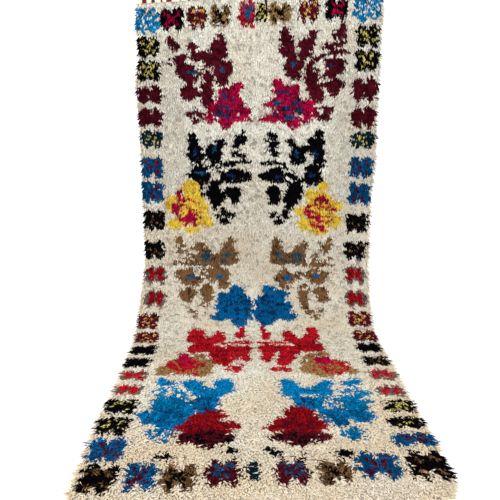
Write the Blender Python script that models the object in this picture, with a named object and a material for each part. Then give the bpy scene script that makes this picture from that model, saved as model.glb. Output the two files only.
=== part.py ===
"""A hand-knotted wool pile rug, hung by its top edge so that its lower part runs out over the floor.

The rug is drawn flat and at its real size first: X across it, Y down it from its first row of pile,
and Z up from its woven back. Its outline, the slope of its rows and the lumps of its pile are worked in
there. It is then draped: it hangs with a slight lean, turns through one wide bend and lies flat on the
floor. The pile faces -Y where it hangs and +Z on the floor, and +X is to a viewer's right.
"""

import math
import random
from collections import namedtuple

import bmesh
import bpy
from mathutils import Vector, noise

# The cloth, in metres
PILE_LENGTH = 3.17
PILE_WIDTH = 1.28
PILE_DEPTH = 0.022
HEADING_HEIGHT = 0.036
HEADING_STEP = 0.006
HEADING_THICKNESS = 0.005

# The way it hangs
HANG_LENGTH = 1.34
LEAN = math.radians(2.8)
BEND_RADIUS = 0.408

# The grid of the flat rug, and the lumps of its pile
CELLS_ACROSS = 20
CELLS_DOWN = 50
LUMP_HEIGHT = 0.0032
LUMP_SPACING = 0.055
LUMP_FADE = 0.05

# The locks of pile that reach past its sides and its lower end
SIDE_LOCKS = 2
END_LOCKS = 3
LOCK_INSET = 0.012
LOCK_REACH = (0.009, 0.018)
LOCK_DROOP = (0.002, 0.012)
LOCK_TIP = (0.38, 0.55)
LOCK_SAG = (0.0, 0.35)
LOCK_SEED = 7

# How closely a face's normal follows a direction before the face counts as looking that way
SAME_WAY = 0.9

# The sides that grow locks, and how many for each cell of the grid
RIMS = (
    (Vector((-1, 0, 0)), SIDE_LOCKS),
    (Vector((1, 0, 0)), SIDE_LOCKS),
    (Vector((0, 1, 0)), END_LOCKS),
)

WOOL_COLOUR = (0.74, 0.66, 0.52, 1.0)
WOOL_ROUGHNESS = 0.95
SHARP_ANGLE = math.radians(50)

# The sides aren't straight: where each one lies, at places down the rug
Edge = namedtuple("Edge", "down left right")
EDGES = (
    Edge(0.00, -0.628, 0.640),
    Edge(0.10, -0.636, 0.655),
    Edge(0.26, -0.632, 0.647),
    Edge(0.39, -0.649, 0.651),
    Edge(0.62, -0.641, 0.643),
    Edge(0.81, -0.639, 0.649),
    Edge(1.02, -0.636, 0.630),
    Edge(1.30, -0.636, 0.631),
    Edge(1.66, -0.657, 0.632),
    Edge(1.80, -0.654, 0.627),
    Edge(2.19, -0.638, 0.640),
    Edge(2.49, -0.634, 0.640),
    Edge(2.63, -0.646, 0.641),
    Edge(2.83, -0.640, 0.652),
    Edge(3.06, -0.633, 0.648),
    Edge(3.17, -0.606, 0.612),
)

# The rows slope: how much lower the left side of a row lies than its middle
Slope = namedtuple("Slope", "down drop")
SLOPES = (
    Slope(0.00, 0.033),
    Slope(0.35, 0.031),
    Slope(0.52, 0.008),
    Slope(0.70, 0.000),
    Slope(1.60, 0.000),
    Slope(2.05, 0.010),
    Slope(2.50, 0.000),
    Slope(2.68, 0.006),
    Slope(2.84, 0.033),
    Slope(3.17, 0.038),
)

# Soft swells of the hanging cloth, towards the viewer or, with a negative rise, away
SWELL_FADE = 0.35
Swell = namedtuple("Swell", "across down half_width half_height rise")
SWELLS = (
    Swell(-0.30, 0.42, 0.26, 0.34, 0.012),
    Swell(0.34, 0.30, 0.24, 0.30, -0.009),
    Swell(0.18, 0.86, 0.30, 0.30, 0.011),
    Swell(-0.42, 1.02, 0.22, 0.32, -0.008),
    Swell(0.50, 1.24, 0.20, 0.26, 0.007),
)


def clear_scene():
    for thing in list(bpy.data.objects):
        bpy.data.objects.remove(thing, do_unlink=True)


def ease(share):
    """A share from 0 to 1, with a soft start and end."""
    share = min(max(share, 0.0), 1.0)
    return share * share * (3.0 - 2.0 * share)


def read(rows, down, column):
    """A column of a table at a distance down the rug, eased between its rows."""
    if down <= rows[0].down:
        return getattr(rows[0], column)
    for above, below in zip(rows, rows[1:]):
        if down <= below.down:
            share = ease((down - above.down) / (below.down - above.down))
            start = getattr(above, column)
            return start + share * (getattr(below, column) - start)
    return getattr(rows[-1], column)


def swell_at(across, down):
    """How far the hanging cloth stands forward of its plane. Its top edge and the bend stay straight."""
    total = 0.0
    for swell in SWELLS:
        sideways = (across - swell.across) / swell.half_width
        lengthways = (down - swell.down) / swell.half_height
        total += swell.rise * math.exp(-(sideways**2 + lengthways**2))
    return total * ease((HANG_LENGTH - down) / SWELL_FADE) * ease((down + HEADING_HEIGHT) / SWELL_FADE)


def drape(across, down, height):
    """Where a point of the flat rug lies once the rug hangs. The floor is at Z 0."""
    bend_angle = math.pi / 2 - LEAN
    bend_length = BEND_RADIUS * bend_angle
    hung = min(down, HANG_LENGTH)
    turned = min(max(down - HANG_LENGTH, 0.0), bend_length) / BEND_RADIUS
    laid = max(down - HANG_LENGTH - bend_length, 0.0)
    slant = LEAN + turned
    y = -hung * math.sin(LEAN) - BEND_RADIUS * (math.cos(LEAN) - math.cos(slant)) - laid
    z = (HANG_LENGTH - hung) * math.cos(LEAN) + BEND_RADIUS * (1.0 - math.sin(slant))
    height += swell_at(across, down)
    return Vector((across, y - height * math.cos(slant), z + height * math.sin(slant)))


def flat_slab(mesh):
    """The pile as a flat slab, as a grid with its copy above it."""
    bmesh.ops.create_grid(mesh, x_segments=CELLS_ACROSS, y_segments=CELLS_DOWN, size=0.5)
    for corner in mesh.verts:
        corner.co.x *= PILE_WIDTH
        corner.co.y = (corner.co.y + 0.5) * PILE_LENGTH
    raised = bmesh.ops.extrude_face_region(mesh, geom=mesh.faces[:], use_keep_orig=True)
    for item in raised["geom"]:
        if isinstance(item, bmesh.types.BMVert):
            item.co.z = PILE_DEPTH
    bmesh.ops.recalc_face_normals(mesh, faces=mesh.faces[:])


def rim_faces(mesh, towards):
    """The upright faces of the flat slab that look the way named by a vector."""
    mesh.normal_update()
    return [face for face in mesh.faces if face.normal.dot(towards) > SAME_WAY]


def edges_of(faces):
    """Each edge of some faces, once and always in the same order."""
    return list(dict.fromkeys(edge for face in faces for edge in face.edges))


def add_heading(mesh):
    """The flat-woven band above the pile: a step down from it, then a thin strip."""
    for climb, top in ((HEADING_STEP, HEADING_THICKNESS), (HEADING_HEIGHT, HEADING_THICKNESS)):
        rim = rim_faces(mesh, Vector((0, -1, 0)))
        band = bmesh.ops.extrude_face_region(mesh, geom=rim + edges_of(rim))
        for item in band["geom"]:
            if isinstance(item, bmesh.types.BMVert):
                item.co.y = -climb
                item.co.z = min(item.co.z, top)


def along_rim(faces):
    """Some faces of the rim in their order along the rug."""
    return sorted(faces, key=lambda face: tuple(face.calc_center_median()))


def pile_rim(mesh, towards):
    """The rim faces of one side, without those of the heading."""
    return along_rim(face for face in rim_faces(mesh, towards) if face.calc_center_median().y > 0)


def is_level(edge):
    """Whether an edge of the flat slab runs along it and not through its thickness."""
    first, last = edge.verts
    return abs(first.co.z - last.co.z) < PILE_DEPTH / 10


def split_rim(mesh, towards, locks):
    """Cuts the faces of one side into narrower ones, from which its locks grow."""
    level = [edge for edge in edges_of(pile_rim(mesh, towards)) if is_level(edge)]
    bmesh.ops.subdivide_edges(mesh, edges=level, cuts=locks - 1)


def grow_locks(mesh, rim, towards, chance):
    """Draws each face of one side out into a lock that narrows and droops down the rug.

    Its tip also sags towards the back, by a share of its height that leaves it above the floor.
    """
    for face in along_rim(bmesh.ops.extrude_discrete_faces(mesh, faces=rim)["faces"]):
        centre = face.calc_center_median()
        tip = chance.uniform(*LOCK_TIP)
        reach = towards * chance.uniform(*LOCK_REACH)
        droop = Vector((0, chance.uniform(*LOCK_DROOP), -centre.z * chance.uniform(*LOCK_SAG)))
        for corner in face.verts:
            corner.co = centre + (corner.co - centre) * tip + reach + droop


def lump(across, down):
    """The unevenness of the pile's surface, which fades out towards its rim."""
    place = Vector((across, down, 0.0)) / LUMP_SPACING
    inside = min(PILE_WIDTH / 2 - abs(across), down, PILE_LENGTH - down)
    return LUMP_HEIGHT * noise.noise(place) * ease(inside / LUMP_FADE)


def shape_and_drape(mesh):
    """Gives the flat slab its lumps, its uneven sides and sloping rows, and hangs it.

    Y points down the rug, which mirrors the draped slab, so its faces are turned over.
    """
    for corner in mesh.verts:
        across, down, height = corner.co
        if height > PILE_DEPTH / 2:
            height += lump(across, down)
        left = read(EDGES, down, "left") + LOCK_INSET
        right = read(EDGES, down, "right") - LOCK_INSET
        share = across / PILE_WIDTH + 0.5
        slope = read(SLOPES, down, "drop") * -across / (PILE_WIDTH / 2)
        corner.co = drape(left + share * (right - left), down + slope, height)
    bmesh.ops.reverse_faces(mesh, faces=mesh.faces[:])


def centre_on_base(mesh):
    """Moves the rug so that the origin is below the middle of its box, on the floor."""
    xs, ys, zs = zip(*(corner.co for corner in mesh.verts))
    middle = Vector(((min(xs) + max(xs)) / 2, (min(ys) + max(ys)) / 2, min(zs)))
    bmesh.ops.translate(mesh, vec=-middle, verts=mesh.verts[:])


def wool():
    """Undyed ivory wool."""
    material = bpy.data.materials.new("ivory_wool")
    material.use_nodes = True
    shader = material.node_tree.nodes["Principled BSDF"]
    shader.inputs["Base Color"].default_value = WOOL_COLOUR
    shader.inputs["Roughness"].default_value = WOOL_ROUGHNESS
    shader.inputs["Metallic"].default_value = 0.0
    return material


def build_rug(collection):
    """The whole rug, knotted in one piece with its flat-woven heading."""
    mesh = bmesh.new()
    chance = random.Random(LOCK_SEED)
    flat_slab(mesh)
    add_heading(mesh)
    for towards, locks in RIMS:
        split_rim(mesh, towards, locks)
    rims = [pile_rim(mesh, towards) for towards, _ in RIMS]
    for rim, (towards, _) in zip(rims, RIMS):
        grow_locks(mesh, rim, towards, chance)
    shape_and_drape(mesh)
    centre_on_base(mesh)
    data = bpy.data.meshes.new("rug")
    mesh.to_mesh(data)
    mesh.free()
    data.shade_smooth()
    data.set_sharp_from_angle(angle=SHARP_ANGLE)
    data.materials.append(wool())
    collection.objects.link(bpy.data.objects.new("rug", data))


def main():
    clear_scene()
    collection = bpy.data.collections.new("azilal_rug")
    bpy.context.scene.collection.children.link(collection)
    build_rug(collection)


main()
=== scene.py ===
"""The looks of a hand-knotted wool pile rug that hangs by its top edge and runs out over the floor.

The rug is worked out flat, in metres, and then draped as its solid is. A knot's `share` of the width and
its `row`, the distance down from the first row of pile, are its place in the weave. `across` and `down`
are its place on the cloth. The pattern is drawn in `out`, the distance from the rug's centre line, and
`down` along the surface of the pile from the middle of the first border row. Every knot is two locks of
wool in the yarn that the pattern gives it.
"""

import math
from collections import namedtuple

import bpy
import numpy as np
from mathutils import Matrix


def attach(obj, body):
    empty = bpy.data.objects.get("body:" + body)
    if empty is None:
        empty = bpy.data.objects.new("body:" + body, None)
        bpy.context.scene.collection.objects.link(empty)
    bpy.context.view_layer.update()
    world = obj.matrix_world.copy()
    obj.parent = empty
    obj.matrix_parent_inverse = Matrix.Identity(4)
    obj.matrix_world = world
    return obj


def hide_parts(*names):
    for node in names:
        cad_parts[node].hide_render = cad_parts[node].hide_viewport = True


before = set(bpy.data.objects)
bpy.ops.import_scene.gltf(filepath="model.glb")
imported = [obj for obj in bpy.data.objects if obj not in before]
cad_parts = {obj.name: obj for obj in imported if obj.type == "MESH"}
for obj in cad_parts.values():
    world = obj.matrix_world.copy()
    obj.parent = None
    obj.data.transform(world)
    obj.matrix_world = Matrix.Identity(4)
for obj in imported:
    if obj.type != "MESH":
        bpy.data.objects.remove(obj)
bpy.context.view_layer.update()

# Smooth noise: its size, the spacing and the seed of its lumps, and how much wider than long they are
Noise = namedtuple("Noise", "size spacing seed stretch", defaults=(1,))
# A change that starts at one place and is whole a length further on
Step = namedtuple("Step", "change start length")


def table(kind, *rows):
    """Rows of one kind."""
    return tuple(kind(*row) for row in rows)


# The noise's lattice reaches over the whole rug and a little past it
LATTICE_LEFT = 0.9
LATTICE_ABOVE = 0.3
LATTICE_WIDTH = 1.8
LATTICE_LENGTH = 3.9

# The cloth as its solid has it
PILE_LENGTH = 3.17
PILE_WIDTH = 1.28
HEADING_HEIGHT = 0.036
HANG_LENGTH = 1.34
LEAN = math.radians(2.8)
BEND_RADIUS = 0.408
PILE_DEPTH = 0.022
EDGE_INSET = 0.012
SWELL_FADE = 0.35

# Where the flat rug's zero lies in the frame
ACROSS_OFFSET = 0.0028
OUT_OFFSET = 0.8702

Edge = namedtuple("Edge", "down left right")
EDGES = table(
    Edge,
    (0.00, -0.628, 0.640),
    (0.10, -0.636, 0.655),
    (0.26, -0.632, 0.647),
    (0.39, -0.649, 0.651),
    (0.62, -0.641, 0.643),
    (0.81, -0.639, 0.649),
    (1.02, -0.636, 0.630),
    (1.30, -0.636, 0.631),
    (1.66, -0.657, 0.632),
    (1.80, -0.654, 0.627),
    (2.19, -0.638, 0.640),
    (2.49, -0.634, 0.640),
    (2.63, -0.646, 0.641),
    (2.83, -0.640, 0.652),
    (3.06, -0.633, 0.648),
    (3.17, -0.606, 0.612),
)

Slope = namedtuple("Slope", "down drop")
SLOPES = table(
    Slope,
    (0.00, 0.033),
    (0.35, 0.031),
    (0.52, 0.008),
    (0.70, 0.000),
    (1.60, 0.000),
    (2.05, 0.010),
    (2.50, 0.000),
    (2.68, 0.006),
    (2.84, 0.033),
    (3.17, 0.038),
)

Swell = namedtuple("Swell", "across down half_width half_height rise")
SWELLS = table(
    Swell,
    (-0.30, 0.42, 0.26, 0.34, 0.012),
    (0.34, 0.30, 0.24, 0.30, -0.009),
    (0.18, 0.86, 0.30, 0.30, 0.011),
    (-0.42, 1.02, 0.22, 0.32, -0.008),
    (0.50, 1.24, 0.20, 0.26, 0.007),
)

# The knots, and how far each strays from its place, in shares of its spacing
SEED = 11
KNOTS_ACROSS = 116
KNOTS_DOWN = 356
KNOT_PLACE_IN_ROW = 0.3
KNOT_STRAY = 0.20
LOCKS_IN_KNOT = 2
LOCK_STRAY = 0.1
LOCK_ROW_STRAY = 0.0015
RIM = 0.002
MOST_LOCKS = 20000
# Each lock's cell on the map has a margin around it
CELL_MARGIN = 0.06

# The form of one lock of wool, and how the locks differ
LOCK_SIDES = 3
Ring = namedtuple("Ring", "reach height half_width half_depth")
RINGS = (
    Ring(0.000, 0.0070, 0.0034, 0.0022),
    Ring(0.013, 0.0155, 0.0042, 0.0026),
)
TIP = Ring(0.024, 0.0165, 0.0, 0.0)
BOW_AT_ROOT = 0.6
LENGTHS = (0.80, 1.20)
LONGER = Step(0.32, 1.7, 0.9)
HEIGHTS = (0.80, 1.12)
LUMPS = Noise(0.14, 0.055, 8)
TUFTS = Noise(1, 0.016, 19)
TUFT_SIZE = 0.16
TUFTIER = Step(0.10, 1.9, 0.8)
WIDTHS = (0.85, 1.2)

# How the locks turn, in degrees: together, outward at the sides, and each on its own
SWIRLS = (Noise(16, 0.10, 6), Noise(12, 0.03, 7))
OUTWARD = Step(40, 0.482, 0.018)
LOOSE = 17
LOOSER = Step(10, 2.0, 0.6)

# Painted shade: short dark creases along the rows of the hanging pile, only in the locks' colour; the locks
# themselves are not moved
CREASE_SLANT = 0.3
CREASES = Noise(3.4, 0.0075, 15, 2.4)
CREASE_START = 1.5
CREASE_PATCHES = Noise(0.4, 0.25, 22)
CREASE_END = Step(1, 1.9, 0.6)

# How light the locks are, from 0 to 1: their mean, noise and chance, painted light on raised tufts, painted
# shade in the creases, and painted light and shade in steps down the rug
LIGHT = 0.59
LIGHT_NOISES = (Noise(0.22, 0.05, 9), Noise(0.22, 0.018, 18))
LIGHT_CHANCE = 0.25
# Painted light: locks in raised tufts are lighter, those in low ones darker
TUFT_PAINTED_LIGHT = 0.30
# Painted shade in the creases: how much it darkens the whole lock, and how much its tip
PAINTED_CREASE_DARKENING = 0.9
CREASE_SHADE = 0.75
# Painted light and shade down the rug: lighter from the foot of the hanging part through the bend, back down
# out on the floor, and darker still near its far end
PAINTED_LIGHT_STEPS = (
    Step(0.30, 0.95, 0.3),
    Step(-0.30, 2.25, 0.3),
    Step(-0.14, 2.3, 0.3),
    Step(-0.28, 2.75, 0.15),
)
# Painted shade: the sides are darker where the rug hangs, by their distance from the middle, and down the rug
SIDE_SHADE = Step(-0.38, 0.26, 0.1)
SIDE_SHADE_STEPS = (Step(1, 0.1, 0.1), Step(-1, 0.9, 0.3))

# How warm the ivory is, from 0 to 1
WARM = 0.05
WARM_SIDES = Step(0.12, 0.44, 0.06)
WARM_NOISE = Noise(0.20, 0.16, 10)
WARM_STEPS = (Step(0.28, 0.9, 0.4), Step(0.14, 2.1, 0.7))
WARM_CHANCE = 0.10
WARM_IVORY = "DFC69C"

# The woven back, darker than its knots' colours, and the bed of the locks' feet on it, darkened as painted
# shade among the locks
UNDERSIDE = 0.0003
BACK_COLUMNS = 128
BACK_ROWS = 285
BACK_HEIGHT = 0.003
BED_HEIGHT = 0.0105
BED_NOISES = (Noise(0.10, 0.055, 8), Noise(0.12, 0.011, 12))
BACK_SHADE = 0.66
BACK_SHADE_NOISES = (Noise(0.10, 0.09, 16), Noise(0.06, 0.011, 13))
BED_SHADE = 0.72
WEAVE_ACROSS = 0.0110
WEAVE_DOWN = 0.0089

# The flat-woven heading, and its dark bars
HEADING_COLUMNS = 260
HEADING_ROWS = 8
HEADING_OVERLAP = 0.004
HEADING_THICKNESS = 0.0040
RIB_HEIGHT = 0.0006
RIB_SPACING = 0.0057
RIBS_BEHIND = 0.3
BARS = Noise(1, 0.014, 14)
MAROON_BARS_FROM = 0.25
DARK_BARS_TO = -0.62
HEADING_IVORY = "D2C6AC"
HEADING_MAROON = "5A2028"
HEADING_DARK = "3B3032"

# The camera that the photo's perspective gives
FRAME_PIXELS = 500
FOCAL_PIXELS = 584
CAMERA_PLACE = (-0.0372, -2.361, 1.258)
CAMERA_PITCH = math.radians(15.2)

# The yarns: the record's slot of each, and its colour as it looks, in sRGB
Yarn = namedtuple("Yarn", "name slot colour")
YARNS = table(
    Yarn,
    ("ivory", "ivory_wool", "F7EFDF"),
    ("maroon", "maroon_wool", "540F1D"),
    ("crimson", "crimson_wool", "A60A3C"),
    ("red", "red_wool", "B01524"),
    ("cherry", "red_wool", "8A0B16"),
    ("orange", "orange_wool", "E0A35C"),
    ("yellow", "yellow_wool", "FFD048"),
    ("straw", "yellow_wool", "D8CB72"),
    ("brown", "brown_wool", "785839"),
    ("ochre", "brown_wool", "957348"),
    ("black", "black_wool", "070508"),
    ("grey", "grey_wool", "6C625C"),
    ("slate", "navy_wool", "33505F"),
    ("navy", "navy_wool", "10305E"),
    ("indigo", "navy_wool", "26305F"),
    ("steel", "blue_wool", "185884"),
    ("blue", "blue_wool", "04598F"),
    ("bright", "bright_blue_wool", "0377AD"),
    ("teal", "teal_wool", "0B2A38"),
)
YARN_INDEX = {yarn.name: index for index, yarn in enumerate(YARNS)}

# How much lighter and darker than its colour a yarn's locks are, and how dark their roots are in painted
# shade
PALE = ("ivory", "yellow", "straw")
PALE_RANGE = (0.70, 1.16)
DEEP_RANGE = (0.45, 1.45)
LIGHTEST = 0.95
ROOT_SHADE = 0.45

# The pattern shows where the locks lie, a little below their roots and further down once they lie
FIRST_ROW = 0.06
LOCK_SHOWS = 0.010
SHOWS_FURTHER = Step(0.012, 1.6, 0.8)

# How the knots stray from the drawing: sideways in streaks where it hangs, and along where it lies
LAID = Step(1, 1.5, 0.5)
STREAKS_ACROSS = Noise(0.011, 0.0075, 20, 5)
STREAKS_DOWN = Noise(0.015, 0.040, 21, 0.12)
WOBBLE_ACROSS = Noise(0.005, 0.014, 3)
WOBBLE_DOWN = Noise(0.004, 0.014, 4)
CHANCE_ACROSS = 0.0025
CHANCE_DOWN = 0.002
BORDER_STRAY_ACROSS = 0.8
BORDER_STRAY_DOWN = 0.6

# The clumps in which half-filled patches are filled, and how far every patch spreads
HUNG_CLUMPS = (Noise(1, 0.0085, 5, 2.6), Noise(0.6, 0.009, 17))
LAID_CLUMPS = Noise(1.2, 0.026, 6, 0.30)
SPREAD = 0.003
SPREAD_FURTHER = Step(0.0045, 2.0, 0.3)

# One patch of a motif: a tilted oval of which a share is filled. `down` is measured along the hung cloth,
# so that the rug's slack rows don't move the motifs.
Part = namedtuple("Part", "yarn out down half_width half_height fill tilt")
FULL_AND_UPRIGHT = (100, 0)


def patches(*items):
    """A motif's parts in painting order: the name of a yarn, then rows for its patches, each with its out,
    down, half width and half height in millimetres, its fill in hundredths and its tilt in degrees."""
    parts = []
    yarn = None
    for item in items:
        if isinstance(item, str):
            yarn = item
            continue
        out, down, half_width, half_height, fill, tilt = item + FULL_AND_UPRIGHT[len(item) - 4 :]
        lengths = [length / 1000 for length in (out, down, half_width, half_height)]
        parts.append(Part(yarn, *lengths, fill / 100, tilt))
    return parts


MAROON_SPRAY_LEFT = patches(
    "maroon", (455, 160, 14, 24), (430, 187, 22, 21), (338, 180, 34, 14), (335, 203, 18, 18),
    (190, 137, 17, 20), (196, 162, 30, 18), (204, 207, 43, 45), (285, 233, 65, 26), (235, 264, 35, 16),
    (255, 278, 45, 20, 60), (445, 268, 53, 9, 85), (430, 247, 35, 20, 65), (393, 244, 22, 22),
    (382, 302, 56, 35), (360, 337, 37, 22), (350, 363, 22, 18), (182, 302, 48, 44), (144, 270, 15, 12),
    (185, 352, 30, 28), (285, 317, 35, 36, 45), (255, 352, 23, 44), (268, 402, 36, 45), (270, 460, 33, 34),
    (365, 412, 43, 34), (365, 441, 19, 18), (313, 422, 26, 14, 80), (355, 525, 26, 14), (335, 557, 20, 15),
    (290, 537, 26, 21, 80), (312, 512, 30, 10, 50),
    "steel", (336, 310, 20, 8, 100, -20), (183, 303, 7, 10),
)
CRIMSON_ROSE_LEFT = patches(
    "crimson", (115, 385, 36, 22, 100, 20), (155, 417, 55, 30), (150, 475, 75, 54), (232, 502, 32, 34),
    (250, 556, 22, 18), (70, 512, 41, 25), (45, 549, 22, 10), (115, 549, 60, 16), (172, 567, 33, 35),
    "maroon", (150, 480, 85, 60, 28),
    "indigo", (180, 437, 21, 6, 100, 75), (138, 452, 6, 22, 100, 70), (175, 492, 8, 26, 100, 68),
    (150, 505, 6, 20, 100, 60), (203, 522, 16, 14), (165, 537, 8, 22, 100, 62),
)
MAROON_SPRAY_RIGHT = patches(
    "maroon", (147, 107, 26, 20), (150, 142, 28, 25), (156, 188, 38, 46), (170, 228, 36, 16),
    (185, 273, 50, 37), (192, 322, 36, 30), (287, 122, 14, 22, 100, 35), (252, 177, 42, 33),
    (268, 150, 25, 15), (252, 215, 36, 24, 95), (220, 239, 36, 16, 90), (448, 87, 13, 28),
    (424, 116, 34, 16, 90), (432, 140, 30, 18, 80), (370, 180, 34, 18, 85), (425, 165, 30, 22, 80),
    (420, 210, 56, 13), (268, 285, 13, 40, 100, 34), (326, 236, 12, 50, 100, 65), (402, 264, 61, 26),
    (408, 300, 46, 26), (452, 262, 18, 10), (310, 316, 34, 24, 70), (375, 325, 43, 14, 90),
    (284, 347, 37, 34), (300, 392, 40, 40), (315, 437, 31, 30), (318, 462, 20, 14, 80), (411, 376, 53, 27),
    (370, 372, 36, 14), (405, 407, 29, 24), (382, 500, 37, 20, 85), (337, 515, 38, 28, 75),
    (352, 546, 34, 14),
    "steel", (190, 272, 10, 8),
    "navy", (380, 272, 18, 5),
)
CRIMSON_ROSE_RIGHT = patches(
    "crimson", (105, 366, 28, 22), (142, 405, 60, 29), (200, 397, 21, 30), (155, 470, 80, 55),
    (60, 476, 31, 13), (268, 490, 38, 41), (268, 542, 34, 24), (80, 547, 50, 17), (32, 556, 20, 9),
    (150, 547, 75, 20), (186, 577, 30, 22),
    "maroon", (165, 480, 95, 60, 28),
    "indigo", (150, 413, 36, 7),
    "steel", (108, 470, 12, 13),
    "indigo", (203, 466, 8, 22, 100, 45), (150, 500, 20, 10),
    "steel", (170, 536, 20, 13),
    "indigo", (88, 520, 14, 9), (218, 503, 14, 12),
)
BLACK_SPRAY_LEFT = patches(
    "black", (350, 635, 23, 13, 90), (342, 678, 33, 37, 90), (335, 712, 41, 39), (330, 745, 44, 31),
    (205, 672, 39, 15, 75), (225, 697, 39, 19), (235, 741, 43, 41), (83, 628, 13, 16),
    (90, 660, 31, 22, 90), (112, 692, 23, 23, 85), (117, 735, 28, 13), (80, 742, 15, 13), (95, 776, 53, 8),
    (165, 790, 43, 11), (300, 795, 59, 13, 80), (235, 805, 35, 9, 80), (198, 850, 15, 53, 50),
    (312, 820, 39, 23), (315, 850, 65, 34), (305, 885, 35, 18), (120, 850, 61, 40), (74, 852, 37, 26),
    (160, 862, 27, 27), (235, 915, 38, 28), (230, 955, 51, 33), (230, 990, 29, 31), (235, 1022, 14, 17),
    (137, 926, 42, 15), (132, 945, 40, 28), (125, 980, 21, 24), (305, 932, 13, 24, 70),
    (222, 885, 33, 12, 60), (215, 1070, 22, 13), (185, 1045, 15, 18), (148, 1064, 21, 15),
    (180, 1102, 23, 22),
    "navy", (335, 722, 10, 18),
    "steel", (222, 716, 7, 12), (308, 836, 22, 4),
    "navy", (135, 852, 12, 9),
)
YELLOW_ROSE_LEFT = patches(
    "yellow", (365, 910, 48, 32), (345, 960, 36, 32), (365, 1030, 85, 85), (470, 1012, 36, 38),
    (455, 985, 30, 20), (302, 1030, 30, 36), (290, 1106, 42, 31), (450, 1118, 42, 27), (360, 1150, 38, 18),
    "orange", (385, 1045, 75, 80, 58),
    "red", (390, 1035, 65, 80, 36),
    "crimson", (424, 960, 14, 23), (402, 984, 34, 9), (455, 1032, 25, 27), (375, 1078, 56, 20, 55),
    (370, 1116, 30, 22, 70),
)
BLACK_SPRAY_RIGHT = patches(
    "black", (75, 634, 21, 15), (70, 660, 24, 19, 90), (90, 681, 24, 22, 90), (75, 715, 15, 11),
    (96, 731, 28, 13), (180, 674, 19, 29, 100, -40), (202, 702, 25, 25), (216, 746, 44, 47),
    (258, 710, 39, 17), (325, 640, 25, 29), (322, 690, 34, 35), (286, 675, 14, 28), (325, 740, 35, 43),
    (342, 775, 21, 21), (322, 797, 49, 13, 80), (35, 782, 22, 10), (85, 783, 67, 10),
    (146, 800, 19, 13, 90), (182, 825, 25, 29, 50), (50, 854, 41, 25), (94, 850, 59, 41),
    (300, 824, 41, 27), (300, 862, 55, 43), (236, 877, 23, 17, 60), (190, 872, 43, 27, 60),
    (202, 920, 38, 33), (186, 966, 51, 43), (174, 1018, 22, 33), (226, 930, 31, 17), (86, 936, 39, 30),
    (92, 978, 26, 30), (95, 1064, 21, 15), (156, 1075, 21, 13), (112, 1106, 25, 17), (150, 1045, 13, 13),
    "steel", (209, 732, 3, 30, 100, -15),
    "navy", (310, 738, 12, 20), (295, 850, 18, 10), (112, 856, 14, 9),
)
YELLOW_ROSE_RIGHT = patches(
    "yellow", (360, 910, 32, 25), (300, 956, 35, 26), (345, 990, 60, 48), (345, 1062, 80, 95),
    (248, 1046, 42, 25), (265, 1116, 42, 34), (425, 1020, 40, 28), (420, 1100, 42, 40), (340, 1157, 50, 21),
    "orange", (345, 1070, 80, 85, 62),
    "crimson", (355, 975, 32, 12), (390, 1000, 22, 20, 60),
    "red", (340, 1055, 78, 80, 40),
    "crimson", (280, 1060, 14, 30, 70), (330, 1096, 42, 12, 80), (346, 1136, 28, 18, 80),
    (412, 1034, 18, 10),
)
BROWN_SPRAY_LEFT = patches(
    "brown", (440, 1200, 18, 12, 80), (428, 1240, 26, 32, 75), (415, 1285, 30, 26, 55),
    (370, 1300, 22, 16, 60), (420, 1335, 48, 12, 75), (375, 1318, 46, 34, 50), (325, 1245, 37, 22, 85),
    (295, 1277, 33, 22), (295, 1312, 45, 33), (148, 1212, 17, 23, 85), (165, 1242, 31, 20, 85),
    (160, 1282, 46, 30), (165, 1320, 56, 28), (225, 1314, 55, 30, 96), (260, 1343, 100, 10, 85),
    (330, 1371, 120, 9, 60), (395, 1402, 52, 30), (375, 1430, 58, 26), (350, 1452, 30, 14, 85),
    (445, 1410, 22, 10, 96), (222, 1374, 46, 20, 75), (210, 1404, 56, 34), (185, 1450, 32, 30, 96),
    (285, 1415, 42, 45, 42), (385, 1508, 44, 34), (388, 1546, 20, 18, 80), (280, 1484, 33, 28, 96),
    (275, 1522, 33, 35), (285, 1566, 25, 18, 85), (360, 1611, 23, 10, 55), (340, 1640, 18, 18, 60),
    (300, 1626, 22, 13, 55),
    "slate", (288, 1302, 22, 22), (165, 1292, 20, 12), (195, 1322, 18, 10),
    "steel", (375, 1416, 23, 8), (215, 1412, 22, 11),
)
BLUE_ROSE_LEFT = patches(
    "blue", (115, 1490, 36, 25), (185, 1520, 30, 22), (130, 1560, 90, 60), (207, 1585, 30, 22),
    (165, 1632, 50, 36), (105, 1620, 75, 50), (212, 1652, 39, 23), (100, 1682, 40, 33), (45, 1602, 34, 45),
    (28, 1650, 26, 21),
    "navy", (105, 1575, 85, 68, 28), (80, 1640, 55, 35, 28),
)
BROWN_SPRAY_RIGHT = patches(
    "brown", (105, 1222, 33, 21, 85), (110, 1257, 31, 25, 96), (120, 1296, 50, 30), (127, 1326, 60, 20),
    (275, 1230, 16, 20, 96), (250, 1252, 31, 18, 96), (225, 1290, 41, 26), (225, 1322, 49, 27),
    (175, 1316, 50, 25, 96), (400, 1215, 11, 25, 85), (350, 1222, 10, 21, 70), (378, 1262, 30, 26, 80),
    (326, 1312, 21, 20, 85), (390, 1320, 32, 16, 60), (345, 1350, 95, 10, 85), (160, 1385, 46, 20, 75),
    (160, 1421, 58, 28), (160, 1460, 35, 20, 85), (350, 1395, 55, 20, 96), (340, 1427, 46, 30),
    (280, 1400, 32, 18, 60), (238, 1425, 36, 38, 42), (255, 1490, 36, 35, 80), (256, 1530, 35, 30, 96),
    (262, 1576, 20, 26, 75), (355, 1495, 43, 22, 92), (366, 1530, 34, 28), (285, 1620, 24, 14, 75),
    (350, 1621, 13, 24, 85), (321, 1650, 19, 17, 85),
    "slate", (120, 1290, 15, 14), (140, 1316, 20, 13), (226, 1291, 22, 16), (218, 1326, 20, 12),
    "steel", (168, 1421, 22, 11), (331, 1411, 16, 10),
)
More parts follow.
